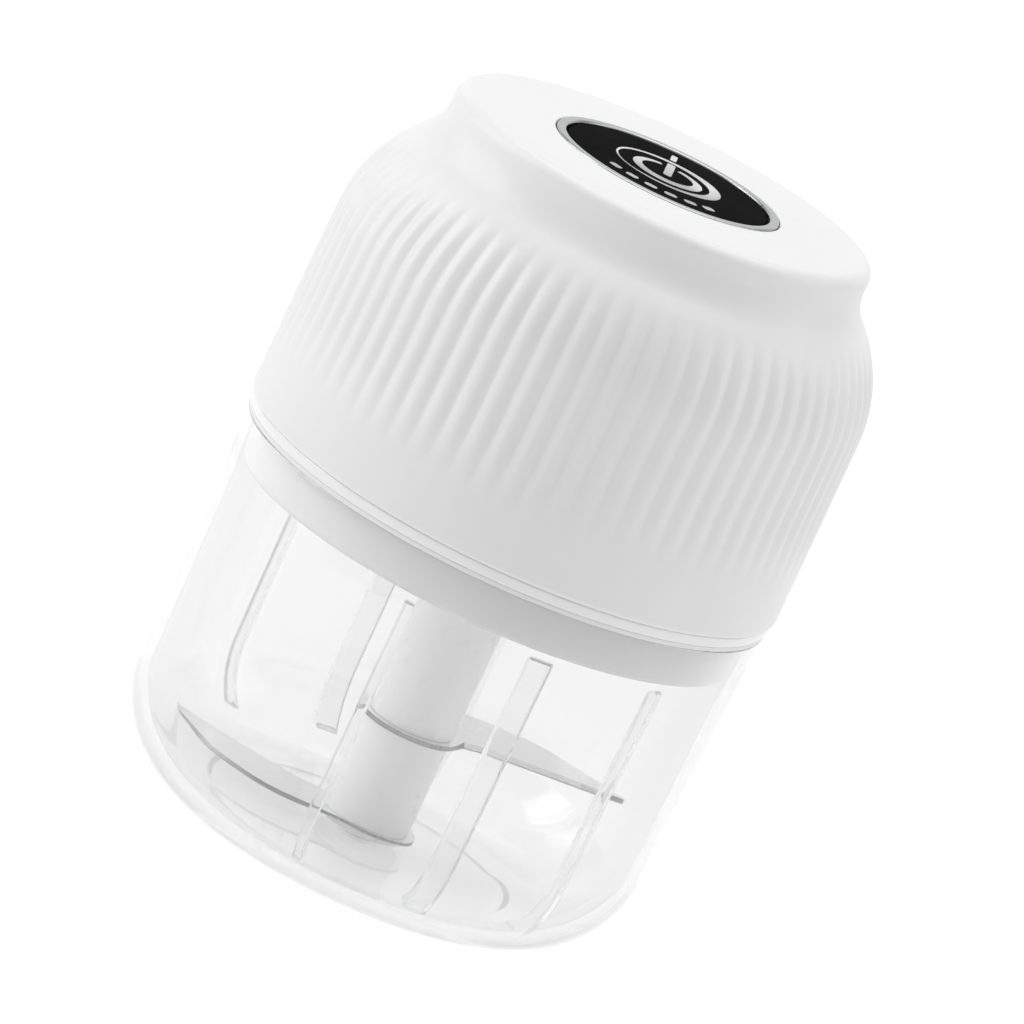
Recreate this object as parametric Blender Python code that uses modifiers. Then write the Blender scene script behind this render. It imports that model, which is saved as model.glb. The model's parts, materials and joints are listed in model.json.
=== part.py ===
"""Cordless mini food processor: a clear cup that stands on a table, a blade unit that turns on a
pin in the cup, and a motor head that pushes into the cup's mouth. Lengths in this file are in
millimetres and are turned into metres where a mesh is made. +Z is up, the cup's base is at z = 0
and the axis of the cup is the Z axis. The charging port is at the back (+Y).
"""

import math

import bmesh
import bpy
from mathutils import Matrix, Vector

MM = 0.001
GAP = 0.3  # clearance between neighbouring pieces

# Driving dimensions of the outside
TOTAL_H = 118.0
SHELL_R = 44.0  # at the bottom edge of the motor head
SHELL_BOTTOM_Z = 61.7
SHELL_WALL = 2.3
NECK_R = 34.5
SHOULDER_ARC_R = 22.8
SHOULDER_Z = 92.5  # where the wall is vertical and the shoulder begins
SHOULDER_R = 43.7
NECK_FILLET_R = 8.0
TOP_ROUND_R = 2.0

CUP_TOP_Z = 59.2
CUP_TOP_R = 43.35
CUP_LOW_R = 42.5  # outer radius where the side meets the bottom corner
CUP_CORNER_R = 12.0
CUP_WALL = 2.1
CUP_FLOOR_Z = 2.6
CUP_LEDGE_Z = 51.6
CUP_MOUTH_R = 41.5
FOOT_RECESS_R = 25.7
FOOT_RECESS_H = 0.7

# The cup's inner ribs: (angle from +X in degrees, half width), and the same again opposite
CUP_RIBS = ((-100.7, 0.8), (-70.3, 1.9), (-40.2, 0.8))
RIB_DEPTH = 1.6

# Insert that closes the motor head and fits into the cup's mouth
INSERT_R = 41.0
INSERT_FLANGE_R = 43.2
INSERT_BOTTOM_Z = 51.9
INSERT_FLOOR = 2.2
INSERT_WALL = 2.2
SEAL_H = 0.6

# Button on the top
BEZEL_R = 18.5
BUTTON_R = 16.6
BUTTON_TRAVEL = 0.8
TOP_PLATE = 2.5

# Blade unit
HUB_R = 7.05
HUB_TOP_Z = 51.2
LOWER_BLADE_Z = 5.3
UPPER_BLADE_Z = 22.3
BLADE_T = 0.8
BLADE_TIP_R = 37.2
UPPER_BLADE_TURN = 16.3
LOWER_BLADE_TURN = 160.0
CORE_R = 4.2
PIN_R = 1.5

# Planetary reduction: sun 12, planets 15, ring 42 teeth
GEAR_MODULE = 0.5
SUN_TEETH = 12
PLANET_TEETH = 15
RING_TEETH = 42
GEAR_Z = (62.8, 68.2)
PLANET_COUNT = 3
PLANET_ORBIT_R = GEAR_MODULE * (SUN_TEETH + PLANET_TEETH) / 2
FIRST_PLANET_ANGLE = 90.0
PLANET_PIN_R = 1.0

# Motor
MOTOR_R = 12.2
MOTOR_Z = (72.3, 99.7)
MOTOR_WALL = 0.9
MOTOR_SHAFT_R = 1.0
ARMATURE_R = 8.1

# Battery and boards
BATTERY_R = 9.15
BATTERY_H = 35.0
BATTERY_X = -27.0
BATTERY_Z = 55.0
BOARD_Z = 108.8
BOARD_T = 1.6
BOARD_R = 24.5
PORT_Z = 69.0


# Charging port and the soft cover over it
PORT_OPENING = (5.2, 2.3)  # half sizes
PORT_POCKET = (7.4, 4.9)
COVER_HALF = (7.0, 4.5)
POCKET_Y = 42.6

# Where the screws stand
BOSS_CENTRES = [
    (37.6 * math.cos(math.radians(a)), 37.6 * math.sin(math.radians(a))) for a in (30, 150, 270)
]
GEAR_SCREWS = [
    (17.2 * math.cos(math.radians(a)), 17.2 * math.sin(math.radians(a))) for a in (30, 150, 270)
]
BOARD_POSTS = ((21.8, 0.0), (-21.8, 0.0))
MOTOR_SCREWS = ((8.0, 0.0), (-8.0, 0.0))

STEPS = 48  # segments of the large round pieces


# Scene set-up

for old in list(bpy.data.objects):
    bpy.data.objects.remove(old, do_unlink=True)


def new_collection(name, hidden=False):
    made = bpy.data.collections.new(name)
    bpy.context.scene.collection.children.link(made)
    made.hide_render = hidden
    return made


PARTS = new_collection("food_processor")
CUTTERS = new_collection("cutters", hidden=True)


def material(name, colour, roughness, metallic=0.0, alpha=1.0):
    made = bpy.data.materials.new(name)
    made.use_nodes = True
    shader = made.node_tree.nodes["Principled BSDF"]
    shader.inputs["Base Color"].default_value = (*colour, 1.0)
    shader.inputs["Roughness"].default_value = roughness
    shader.inputs["Metallic"].default_value = metallic
    shader.inputs["Alpha"].default_value = alpha
    made.diffuse_color = (*colour, alpha)
    return made


WHITE = material("white_plastic", (0.86, 0.86, 0.86), 0.35)
CLEAR = material("clear_plastic", (0.93, 0.95, 0.96), 0.05, alpha=0.3)
BLACK = material("black_gloss", (0.012, 0.012, 0.013), 0.12)
SILVER = material("silver_trim", (0.55, 0.56, 0.57), 0.25, metallic=1.0)
STEEL = material("steel", (0.62, 0.63, 0.64), 0.22, metallic=1.0)
BRASS = material("brass", (0.72, 0.52, 0.22), 0.3, metallic=1.0)
NYLON = material("gear_nylon", (0.78, 0.76, 0.68), 0.45)
RUBBER = material("seal_rubber", (0.80, 0.80, 0.79), 0.7)
BOARD = material("board_green", (0.03, 0.20, 0.09), 0.5)
DARK = material("dark_plastic", (0.05, 0.05, 0.055), 0.5)
MAGNET = material("magnet", (0.13, 0.12, 0.12), 0.7)
COPPER = material("copper", (0.72, 0.35, 0.20), 0.35, metallic=1.0)
SLEEVE = material("battery_sleeve", (0.05, 0.22, 0.50), 0.4)
RED = material("red_wire", (0.60, 0.03, 0.02), 0.5)
LENS = material("lens", (0.80, 0.90, 0.95), 0.2)


# Modelling helpers

def axis_empty(name, x=0.0, y=0.0, z=0.0):
    """A parent empty on a joint's axis."""
    empty = bpy.data.objects.new(name, None)
    empty.empty_display_size = 5 * MM
    empty.location = Vector((x, y, z)) * MM
    PARTS.objects.link(empty)
    return empty


def place(obj, parent, mat=None, smooth=35.0):
    """Links a finished piece under its parent, keeping its world place, and shades it."""
    PARTS.objects.link(obj)
    if mat:
        obj.data.materials.append(mat)
    if parent:
        obj.parent = parent
        obj.matrix_parent_inverse = Matrix.Translation(-parent.location)
    if smooth and obj.type == "MESH":
        obj.data.shade_smooth()
        obj.data.set_sharp_from_angle(angle=math.radians(smooth))
    return obj


def helper(obj):
    """Marks a cutter, or a shape that a Boolean joins to a piece."""
    CUTTERS.objects.link(obj)
    obj.hide_render = True
    obj.display_type = "WIRE"
    return obj


def combine(target, other, operation):
    modifier = target.modifiers.new(f"{operation.lower()} {other.name}", "BOOLEAN")
    modifier.operation = operation
    modifier.solver = "EXACT"
    modifier.object = other
    return target


def cut(target, other):
    return combine(target, helper(other), "DIFFERENCE")


def join(target, other):
    return combine(target, helper(other), "UNION")


def lathe(name, profile, steps=STEPS):
    """A turned shape. The profile runs up the inside or from the axis, then down the outside."""
    mesh = bpy.data.meshes.new(name)
    points = [(r * MM, 0.0, z * MM) for r, z in profile]
    edges = [(i, i + 1) for i in range(len(points) - 1)]
    if profile[0][0] > 0:
        edges.append((len(points) - 1, 0))
    mesh.from_pydata(points, edges, [])
    obj = bpy.data.objects.new(name, mesh)
    screw = obj.modifiers.new("turn", "SCREW")
    screw.axis = "Z"
    screw.steps = steps
    screw.render_steps = steps
    screw.use_merge_vertices = True
    screw.merge_threshold = 1e-6
    screw.use_smooth_shade = True
    return obj


def ring(name, inner_r, outer_r, low_z, high_z, steps=STEPS):
    """A plain ring with a rectangular section."""
    section = [(inner_r, low_z), (inner_r, high_z), (outer_r, high_z), (outer_r, low_z)]
    return lathe(name, section, steps)


def arc(centre_r, centre_z, radius, start, end, count):
    """Points on an arc in the profile plane. Angles in degrees from +R towards +Z."""
    angles = [math.radians(start + (end - start) * i / count) for i in range(count + 1)]
    return [(centre_r + radius * math.cos(a), centre_z + radius * math.sin(a)) for a in angles]


def from_bmesh(name, bm):
    bmesh.ops.recalc_face_normals(bm, faces=bm.faces)
    mesh = bpy.data.meshes.new(name)
    bm.to_mesh(mesh)
    bm.free()
    return bpy.data.objects.new(name, mesh)


def add_box(bm, low, high, turn=0.0):
    """A box between two corners, turned about the Z axis by degrees."""
    low, high = Vector(low), Vector(high)
    made = bmesh.ops.create_cube(bm, size=1.0)["verts"]
    size = Matrix.Diagonal(((high - low) * MM).to_4d())
    where = Matrix.Translation((low + high) / 2 * MM)
    spin = Matrix.Rotation(math.radians(turn), 4, "Z")
    bmesh.ops.transform(bm, matrix=spin @ where @ size, verts=made)


def add_rod(bm, x, y, low_z, high_z, radius, steps=20, top_radius=None):
    """A cylinder or cone along Z."""
    made = bmesh.ops.create_cone(
        bm, cap_ends=True, segments=steps, depth=(high_z - low_z) * MM,
        radius1=radius * MM, radius2=(radius if top_radius is None else top_radius) * MM,
    )["verts"]
    middle = Vector((x, y, (low_z + high_z) / 2)) * MM
    bmesh.ops.translate(bm, vec=middle, verts=made)


def box(name, low, high):
    bm = bmesh.new()
    add_box(bm, low, high)
    return from_bmesh(name, bm)


def rods(name, centres, low_z, high_z, radius, steps=20, top_radius=None):
    """One or more equal cylinders as one helper or piece."""
    bm = bmesh.new()
    for x, y in centres:
        add_rod(bm, x, y, low_z, high_z, radius, steps, top_radius)
    return from_bmesh(name, bm)


def plate(name, outlines, low_z, high_z):
    """A flat piece from closed outlines, where an outline inside another is a hole."""
    curve = bpy.data.curves.new(name, "CURVE")
    curve.dimensions = "2D"
    curve.fill_mode = "BOTH"
    curve.extrude = (high_z - low_z) / 2 * MM
    for outline in outlines:
        spline = curve.splines.new("POLY")
        spline.points.add(len(outline) - 1)
        spline.use_cyclic_u = True
        for point, (x, y) in zip(spline.points, outline):
            point.co = (x * MM, y * MM, 0.0, 1.0)
    flat = bpy.data.objects.new(name + "_outline", curve)
    bpy.context.scene.collection.objects.link(flat)
    bpy.context.view_layer.update()
    graph = bpy.context.evaluated_depsgraph_get()
    mesh = bpy.data.meshes.new_from_object(flat.evaluated_get(graph))
    mesh.name = name
    bpy.data.objects.remove(flat, do_unlink=True)
    bm = bmesh.new()
    bm.from_mesh(mesh)
    bmesh.ops.remove_doubles(bm, verts=bm.verts, dist=1e-6)
    bmesh.ops.recalc_face_normals(bm, faces=bm.faces)
    bm.to_mesh(mesh)
    bm.free()
    mesh.transform(Matrix.Translation((0, 0, (low_z + high_z) / 2 * MM)))
    return bpy.data.objects.new(name, mesh)


def circle(radius, steps=24, x=0.0, y=0.0, phase=0.0):
    angles = [math.radians(phase) + 2 * math.pi * i / steps for i in range(steps)]
    return [(x + radius * math.cos(a), y + radius * math.sin(a)) for a in angles]


def polar(radius, degrees):
    return radius * math.cos(math.radians(degrees)), radius * math.sin(math.radians(degrees))


def around(radius, count, first=0.0):
    """Centres spaced evenly on a circle."""
    return [polar(radius, first + 360.0 * i / count) for i in range(count)]


def smooth_path(points, spacing):
    """Points read from a smooth curve (Catmull-Rom) through a route's own points."""
    route = [Vector(p) for p in points]
    ends = [2 * route[0] - route[1], *route, 2 * route[-1] - route[-2]]
    made = []
    for a, b, c, d in zip(ends, ends[1:], ends[2:], ends[3:]):
        count = max(2, round((c - b).length / spacing))
        for i in range(count):
            t = i / count
            made.append(0.5 * (2 * b + (c - a) * t + (2 * a - 5 * b + 4 * c - d) * t * t
                               + (3 * b - a - 3 * c + d) * t ** 3))
    return [*made, route[-1]]


def tube(name, points, radius, mat, parent, sides_resolution=1):
    curve = bpy.data.curves.new(name, "CURVE")
    curve.dimensions = "3D"
    curve.bevel_depth = radius * MM
    curve.bevel_resolution = sides_resolution
    curve.use_fill_caps = True
    spline = curve.splines.new("POLY")
    spline.points.add(len(points) - 1)
    for point, co in zip(spline.points, points):
        point.co = (*(Vector(co) * MM), 1.0)
    return place(bpy.data.objects.new(name, curve), parent, mat)


# Cup

def cup_side_r(z):
    """Outer radius of the cup's slightly tapered side."""
    share = (z - CUP_CORNER_R) / (CUP_TOP_Z - CUP_CORNER_R)
    return CUP_LOW_R + (CUP_TOP_R - CUP_LOW_R) * share


def make_cup(root):
    corner_r = CUP_LOW_R - CUP_CORNER_R
    inner_corner = CUP_CORNER_R - CUP_WALL
    inner_floor_r = corner_r
    profile = [(0.0, CUP_FLOOR_Z), (inner_floor_r, CUP_FLOOR_Z)]
    profile += arc(inner_floor_r, CUP_FLOOR_Z + inner_corner, inner_corner, -72, 0, 3)
    profile += [
        (cup_side_r(CUP_LEDGE_Z) - CUP_WALL, CUP_LEDGE_Z),
        (CUP_MOUTH_R, CUP_LEDGE_Z + 0.4),
        (CUP_MOUTH_R, CUP_TOP_Z - 0.3),
        (CUP_MOUTH_R + 0.3, CUP_TOP_Z),
        (CUP_TOP_R - 0.3, CUP_TOP_Z),
        (CUP_TOP_R, CUP_TOP_Z - 0.3),
    ]
    profile += arc(corner_r, CUP_CORNER_R, CUP_CORNER_R, 0, -90, 4)
    profile += [(FOOT_RECESS_R, 0.0), (FOOT_RECESS_R - 0.5, FOOT_RECESS_H), (0.0, FOOT_RECESS_H)]
    cup = lathe("cup", profile)
    join(cup, cup_ribs(corner_r, inner_corner))
    join(cup, rods("cup_pin_boss", [(0, 0)], CUP_FLOOR_Z - 0.8, CUP_FLOOR_Z + 0.8, 3.6, 24))
    cut(cup, rods("cup_pin_hole", [(0, 0)], CUP_FLOOR_Z - 1.0, CUP_FLOOR_Z + 3.0, PIN_R + GAP, 16))
    place(cup, root, CLEAR)
    pin = lathe("pivot_pin", [(0.0, 11.6), (0.9, 11.6), (PIN_R, 10.8), (PIN_R, 2.0), (0.0, 2.0)], 16)
    place(pin, root, STEEL)


def cup_ribs(corner_r, inner_corner):
    """Upright ribs on the inner wall that follow it round into the bottom corner."""
    centre_z = CUP_FLOOR_Z + inner_corner
    sunk = 0.9  # how far a rib reaches into the wall, so that the two join
    rib_end = LOWER_BLADE_Z + BLADE_T + 0.5  # clear of the lower blade's tip as it turns
    lines = []
    for radius in (inner_corner + sunk, inner_corner - RIB_DEPTH):
        reach = -math.degrees(math.asin((centre_z - rib_end) / radius))
        lines.append(arc(corner_r, centre_z, radius, 0, reach, 4))
    outer, inner = lines[0], lines[1][::-1]
    top_r = cup_side_r(CUP_LEDGE_Z) - CUP_WALL
    low, high = CUP_LEDGE_Z - 1.4, CUP_LEDGE_Z - 0.6
    outline = [(top_r + sunk, high), *outer, *inner, (top_r - RIB_DEPTH, low), (top_r - 0.4, high)]
    bm = bmesh.new()
    for turn, half in [(a + flip, h) for a, h in CUP_RIBS for flip in (0, 180)]:
        made = [bm.verts.new((r * MM, -half * MM, z * MM)) for r, z in outline]
        face = bm.faces.new(made)
        grown = bmesh.ops.extrude_face_region(bm, geom=[face])["geom"]
        far = [v for v in grown if isinstance(v, bmesh.types.BMVert)]
        bmesh.ops.translate(bm, vec=(0, 2 * half * MM, 0), verts=far)
        bmesh.ops.rotate(bm, cent=(0, 0, 0), verts=made + far,
                         matrix=Matrix.Rotation(math.radians(turn), 3, "Z"))
    return from_bmesh("cup_rib_shapes", bm)


# Blade unit

def blade_outline(turn, steps=20):
    """A straight back edge on a radius, and a convex edge that sweeps back to the hub."""
    belly = [(1.0, 8.0), (5.0, 10.8), (9.0, 13.2), (14.0, 14.1), (20.5, 13.2), (25.5, 11.3),
             (33.0, 5.0), (BLADE_TIP_R, 0.3)]
    root = [polar(8.3, a) for a in (120, 160, 200, 240, 280, 320)]
    back = [(10.5, -1.4), (16.0, -0.4), (BLADE_TIP_R, 0.0)]
    outline = [(p.x, p.y) for p in smooth_path([(*p, 0.0) for p in reversed(belly)], 3.0)]
    points = outline + root + back
    spin = Matrix.Rotation(math.radians(turn), 2)
    return [tuple(spin @ Vector(p)) for p in points]


def make_blade(name, turn, low_z, unit):
    outlines = [blade_outline(turn), circle(CORE_R + GAP, 24)]
    place(plate(name, outlines, low_z, low_z + BLADE_T), unit, STEEL, smooth=20)


def make_blade_unit(unit):
    make_blade("lower_blade", LOWER_BLADE_TURN, LOWER_BLADE_Z, unit)
    make_blade("upper_blade", UPPER_BLADE_TURN, UPPER_BLADE_Z, unit)
    bore = CORE_R + GAP
    above_low = LOWER_BLADE_Z + BLADE_T + GAP
    place(ring("hub_lower", bore, HUB_R, above_low, UPPER_BLADE_Z - GAP, 32), unit, WHITE)
    foot = [(PIN_R + 0.8, 3.8), (PIN_R + 0.8, 4.7), (HUB_R, 4.7), (HUB_R, 4.2), (HUB_R - 0.6, 3.8)]
    place(lathe("hub_foot", foot, 32), unit, WHITE)
    web_z = 34.0
    above_high = UPPER_BLADE_Z + BLADE_T + GAP
    profile = [
        (0.0, HUB_TOP_Z), (HUB_R - 0.5, HUB_TOP_Z), (HUB_R, HUB_TOP_Z - 0.5), (HUB_R, above_high),
        (bore, above_high), (bore, web_z), (0.0, web_z),
    ]
    upper = lathe("hub_upper", profile, 32)
    cut(upper, rods("hub_socket", [(0, 0)], web_z + 4.0, HUB_TOP_Z + 1.0, 4.3, 6))
    place(upper, unit, WHITE)
    bush_r, bush_top = 2.6, 12.4
    core_z = (5.0, web_z - GAP)
    inside = [(0.0, core_z[1]), (CORE_R, core_z[1]), (CORE_R, core_z[0])]
    bore_line = [(bush_r + GAP, core_z[0]), (bush_r + GAP, bush_top + GAP), (0.0, bush_top + GAP)]
    place(lathe("hub_core", inside + bore_line, 24), unit, STEEL)
    place(ring("pivot_bush", PIN_R + 0.12, bush_r, 5.0, bush_top, 16), unit, BRASS)


# Motor head: outer pieces

def shell_outline(inset=0.0):
    """Outer line of the shell from the top edge down. A positive inset gives the inner line."""
    arc_r = SHOULDER_ARC_R - inset
    fillet_r = NECK_FILLET_R + inset
    shoulder_c = SHOULDER_R - SHOULDER_ARC_R
    fillet_c = NECK_R + NECK_FILLET_R
    reach = SHOULDER_ARC_R + NECK_FILLET_R
    rise = math.sqrt(reach ** 2 - (fillet_c - shoulder_c) ** 2)
    lean = math.degrees(math.atan2(rise, fillet_c - shoulder_c))
    line = arc(fillet_c, SHOULDER_Z + rise, fillet_r, 180, 180 + lean, 3)
    line += arc(shoulder_c, SHOULDER_Z, arc_r, lean, 0, 4)[1:]
    return [*line, (SHELL_R - inset, SHELL_BOTTOM_Z + 0.6)]


def make_shell(head):
    outer = arc(NECK_R - TOP_ROUND_R, TOTAL_H - TOP_ROUND_R, TOP_ROUND_R, 90, 0, 3)
    outer += shell_outline()
    outer += [(SHELL_R - 0.6, SHELL_BOTTOM_Z)]
    inner = [(r, z) for r, z in reversed(shell_outline(SHELL_WALL)[:-1])]
    inner_top = TOTAL_H - TOP_PLATE
    hole_r = BEZEL_R - 1.2
    inner_low = [(SHELL_R - SHELL_WALL, SHELL_BOTTOM_Z)]
    seat = [(hole_r, inner_top), (hole_r, TOTAL_H - 1.3), (BEZEL_R + GAP, TOTAL_H - 1.3),
            (BEZEL_R + GAP, TOTAL_H)]
    shell = lathe("housing_shell", inner_low + inner + [(NECK_R - SHELL_WALL, inner_top)] + seat + outer)
    join(shell, rods("shell_bosses", BOSS_CENTRES, SHELL_BOTTOM_Z + 1.0, SHELL_BOTTOM_Z + 18.0, 4.7, 16))
    join(shell, rods("board_posts", BOARD_POSTS, BOARD_Z + BOARD_T + GAP, inner_top + 0.6, 2.3, 12))
    cut(shell, rods("boss_holes", BOSS_CENTRES, SHELL_BOTTOM_Z, SHELL_BOTTOM_Z + 14.0, 1.6, 10))
    cut(shell, rods("post_holes", BOARD_POSTS, BOARD_Z, BOARD_Z + BOARD_T + 3.4, 1.2, 10))
    for name, (half_x, half_z), low_y in (
        ("port_pocket", PORT_POCKET, POCKET_Y), ("port_opening", PORT_OPENING, 36.0),
    ):
        cut(shell, box(name, (-half_x, low_y, PORT_Z - half_z), (half_x, 46.0, PORT_Z + half_z)))
    place(shell, head, WHITE)


def make_bezel(head):
    low, inner_r = TOTAL_H - 1.0, BUTTON_R + 0.35
    section = [(inner_r, low), (inner_r, TOTAL_H), (inner_r + 0.3, TOTAL_H + 0.15),
               (BEZEL_R - 0.3, TOTAL_H + 0.15), (BEZEL_R, TOTAL_H - 0.1), (BEZEL_R, low)]
    place(lathe("button_ring", section, 40), head, SILVER)


def make_insert(head):
    floor_top = INSERT_BOTTOM_Z + INSERT_FLOOR
    flange_z = (CUP_TOP_Z + SEAL_H + 2 * 0.2, SHELL_BOTTOM_Z - GAP)
    inner_r = INSERT_R - INSERT_WALL
    hole_r = 3.4
    profile = [
        (hole_r, INSERT_BOTTOM_Z), (hole_r, floor_top), (5.6, floor_top), (5.6, floor_top + 3.2),
        (7.2, floor_top + 3.2), (7.2, floor_top), (inner_r, floor_top), (inner_r, flange_z[1]),
        (INSERT_FLANGE_R - 0.3, flange_z[1]), (INSERT_FLANGE_R, flange_z[1] - 0.3),
        (INSERT_FLANGE_R, flange_z[0]), (INSERT_R, flange_z[0]), (INSERT_R, INSERT_BOTTOM_Z + 0.8),
        (INSERT_R - 0.8, INSERT_BOTTOM_Z),
    ]
    insert = lathe("lid_insert", profile)
    join(insert, rods("insert_posts", BOSS_CENTRES, floor_top - 0.6, flange_z[1] + 0.7, 3.3, 14))
    join(insert, rods("gear_posts", GEAR_SCREWS, floor_top - 0.6, floor_top + 3.3, 2.6, 12))
    cut(insert, rods("insert_holes", BOSS_CENTRES, INSERT_BOTTOM_Z - 1, SHELL_BOTTOM_Z + 2, 1.7, 10))
    cut(insert, rods("insert_sinks", BOSS_CENTRES, INSERT_BOTTOM_Z - 1, INSERT_BOTTOM_Z + 3.4, 2.9, 14))
    cut(insert, rods("gear_post_holes", GEAR_SCREWS, floor_top + 0.3, floor_top + 5, 1.2, 8))
    place(insert, head, WHITE)
    seal_z = CUP_TOP_Z + 0.2
    place(ring("cup_seal", CUP_MOUTH_R + 0.1, CUP_TOP_R - 0.3, seal_z, seal_z + SEAL_H, 48), head, RUBBER)
    lip = [(2.62, floor_top + GAP), (2.9, floor_top + 2.9), (5.2, floor_top + 2.9), (5.2, floor_top + GAP)]
    place(lathe("shaft_seal", lip, 24), head, RUBBER)


def add_screw(name, x, y, tip_z, seat_z, direction, head, shank_r=1.2, head_r=2.2, head_h=1.5):
    """A cross-recess screw. The direction is +1 with its head on top and -1 with it below."""
    head_z = seat_z + direction * head_h
    bm = bmesh.new()
    add_rod(bm, x, y, *sorted((seat_z, head_z)), head_r, 12)
    body = from_bmesh(name, bm)
    inside = seat_z + direction * 0.4
    join(body, rods(name + "_shank", [(x, y)], *sorted((tip_z, inside)), shank_r, 8))
    slot_end = head_z + direction
    low, high = sorted((head_z - direction * 0.5, slot_end))
    cross = bmesh.new()
    half = head_r * 0.6
    add_box(cross, (x - half, y - 0.25, low), (x + half, y + 0.25, high))
    cut(body, from_bmesh(name + "_slot", cross))
    place(body, head, STEEL)


def make_screws(head):
    floor_top = INSERT_BOTTOM_Z + INSERT_FLOOR
    for i, (x, y) in enumerate(BOSS_CENTRES, 1):
        add_screw(f"insert_screw_{i}", x, y, SHELL_BOTTOM_Z + 12.0, INSERT_BOTTOM_Z + 3.1, -1, head)
    for i, (x, y) in enumerate(GEAR_SCREWS, 1):
        add_screw(f"gearbox_screw_{i}", x, y, floor_top + 0.9, floor_top + 5.9, 1, head, 0.85, 1.8)
    for i, (x, y) in enumerate(MOTOR_SCREWS, 1):
        add_screw(f"motor_screw_{i}", x, y, 73.1, 70.2, -1, head, 0.8, 1.5, 1.0)
    for i, (x, y) in enumerate(BOARD_POSTS, 1):
        add_screw(f"board_screw_{i}", x, y, BOARD_Z + 4.6, BOARD_Z - GAP, -1, head, 0.85, 2.0)


# Button

def make_button(button):
    flange_z = TOTAL_H - TOP_PLATE - GAP
    profile = [
        (0.0, TOTAL_H), (BUTTON_R - 0.4, TOTAL_H), (BUTTON_R, TOTAL_H - 0.4), (BUTTON_R, flange_z),
        (BEZEL_R, flange_z), (BEZEL_R, flange_z - 1.0), (2.5, flange_z - 1.0), (2.5, flange_z - 1.3),
        (0.0, flange_z - 1.3),
    ]
    place(lathe("power_button", profile, 40), button, BLACK)


def make_switch(head, plunger):
    board_top = BOARD_Z + BOARD_T
    board = rods("control_board", [(0, 0)], BOARD_Z, board_top, BOARD_R, 28)
    cut(board, rods("board_holes", BOARD_POSTS, BOARD_Z - 1, board_top + 1, 1.3, 8))
    place(board, head, BOARD)
    low, high = board_top + GAP, board_top + 2.2
    body = box("tact_switch", (-3.0, -3.0, low), (3.0, 3.0, high))
    cut(body, rods("switch_well", [(0, 0)], low + 0.4, high + 1, 2.0, 16))
    place(body, head, DARK)
    top_z = TOTAL_H - TOP_PLATE - GAP - 1.3 - GAP
    place(rods("switch_plunger", [(0, 0)], top_z - 1.5, top_z, 1.7, 16), plunger, WHITE)
    dome = [(0.0, low + 2.0), (0.9, low + 1.6), (1.3, low + 0.8), (1.3, low), (0.0, low)]
    led = lathe("status_led", dome, 12)
    led.location = (0, 11.5 * MM, 0)
    place(led, head, LENS)
    turns, per_turn, wire = 3, 12, 0.28
    spring_z = (low + wire, TOTAL_H - TOP_PLATE - GAP - 1.0 - GAP - wire)
    count = round(turns * per_turn)
    coil = []
    for i in range(count + 1):
        x, y = polar(6.2, 360.0 * i / per_turn)
        coil.append((x, y, spring_z[0] + (spring_z[1] - spring_z[0]) * i / count))
    tube("button_spring", coil, wire, STEEL, head, sides_resolution=1)


# Gearbox

def gear_outline(teeth, phase, addendum=0.82, dedendum=1.15, thin=0.09, inner=False):
    """Straight-sided teeth with backlash. An inner gear's teeth point towards the axis."""
    pitch_r = GEAR_MODULE * teeth / 2
    sign = -1 if inner else 1
    tip_r = pitch_r + sign * addendum * GEAR_MODULE
    root_r = pitch_r - sign * dedendum * GEAR_MODULE
    pitch = 360.0 / teeth
    half = pitch / 4 - math.degrees(thin / pitch_r)
    slope = math.degrees(math.tan(math.radians(20)) * GEAR_MODULE / pitch_r)
    tip_half = half - slope * addendum
    root_half = half + slope * dedendum * 0.8
    points = []
    for i in range(teeth):
        middle = phase + i * pitch
        points += [polar(root_r, middle - root_half), polar(tip_r, middle - tip_half),
                   polar(tip_r, middle + tip_half), polar(root_r, middle + root_half)]
    return points


def gear_phases(angle):
    """Tooth angles that put a planet in mesh with a sun tooth at 0 degrees, and the ring gap."""
    sun_pitch, planet_pitch, ring_pitch = (360.0 / n for n in (SUN_TEETH, PLANET_TEETH, RING_TEETH))
    sun_share = (angle / sun_pitch) % 1.0
    planet = angle + 180.0 + (sun_share + 0.5) * planet_pitch
    planet_share = ((angle - planet) / planet_pitch) % 1.0
    ring_tooth = angle - (planet_share - 0.5) * ring_pitch
    return planet, ring_tooth


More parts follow.
